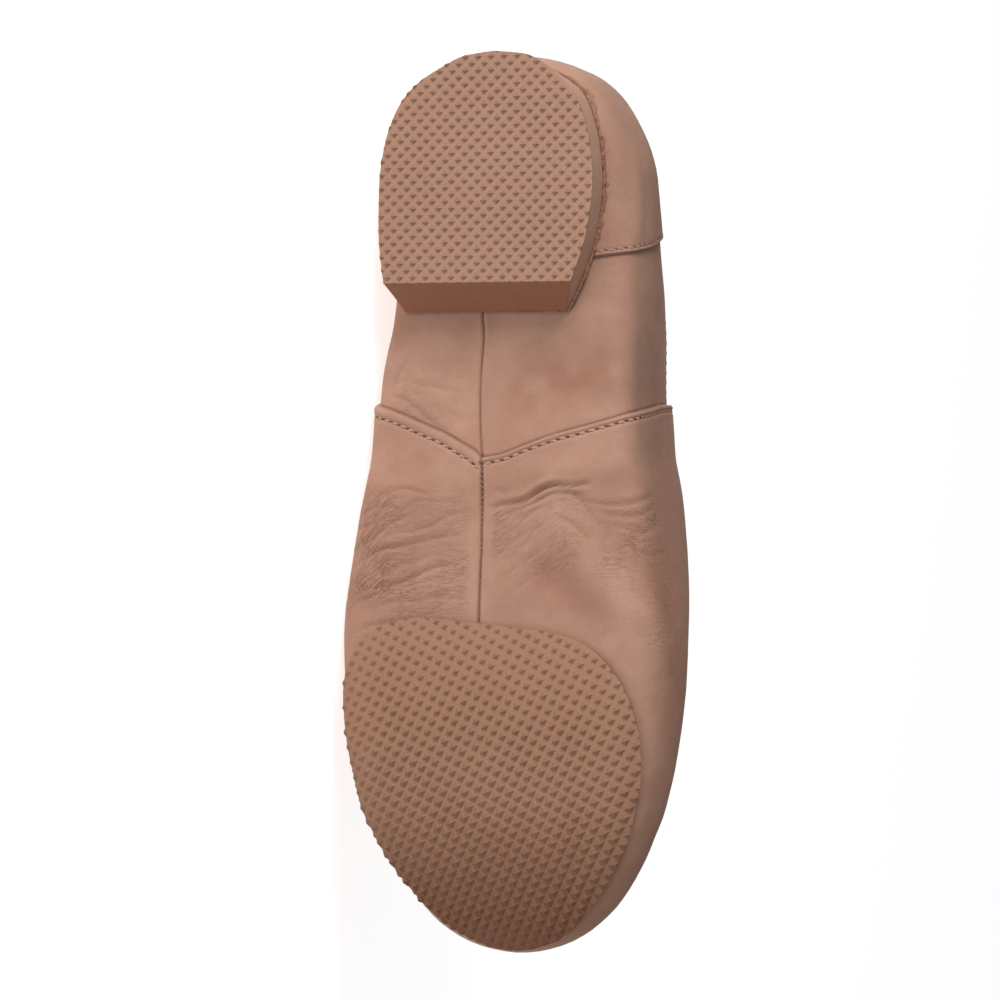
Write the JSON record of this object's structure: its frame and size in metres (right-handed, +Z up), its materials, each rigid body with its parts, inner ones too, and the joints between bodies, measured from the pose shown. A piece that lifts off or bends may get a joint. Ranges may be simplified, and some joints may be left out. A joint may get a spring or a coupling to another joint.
{
  "type": "jazz shoe",
  "caption": "Left slip-on jazz shoe of soft leather with a split rubber sole: low heel block, bare leather arch and thin forefoot sole, lying on its outer side.",
  "frame": {"origin": "centre of the bounding box's lower face, on the floor under the lying shoe", "axes": "+X from heel to toe along the floor, -Y the way the treads face, +Z up, from the outer side on the floor to the inner side"},
  "size_m": [0.24, 0.0708, 0.0954],
  "materials": {
    "upper_leather": "soft glove leather, matt",
    "sole_rubber": "matt rubber with a fine pyramid tread",
    "heel_rubber": "matt rubber with a fine pyramid tread",
    "insole_lining": "matt brushed lining"
  },
  "bodies": {
    "root": {"upper": "upper_leather", "forefoot_sole": "sole_rubber", "heel": "heel_rubber", "insole": "insole_lining"}
  },
  "joints": []
}
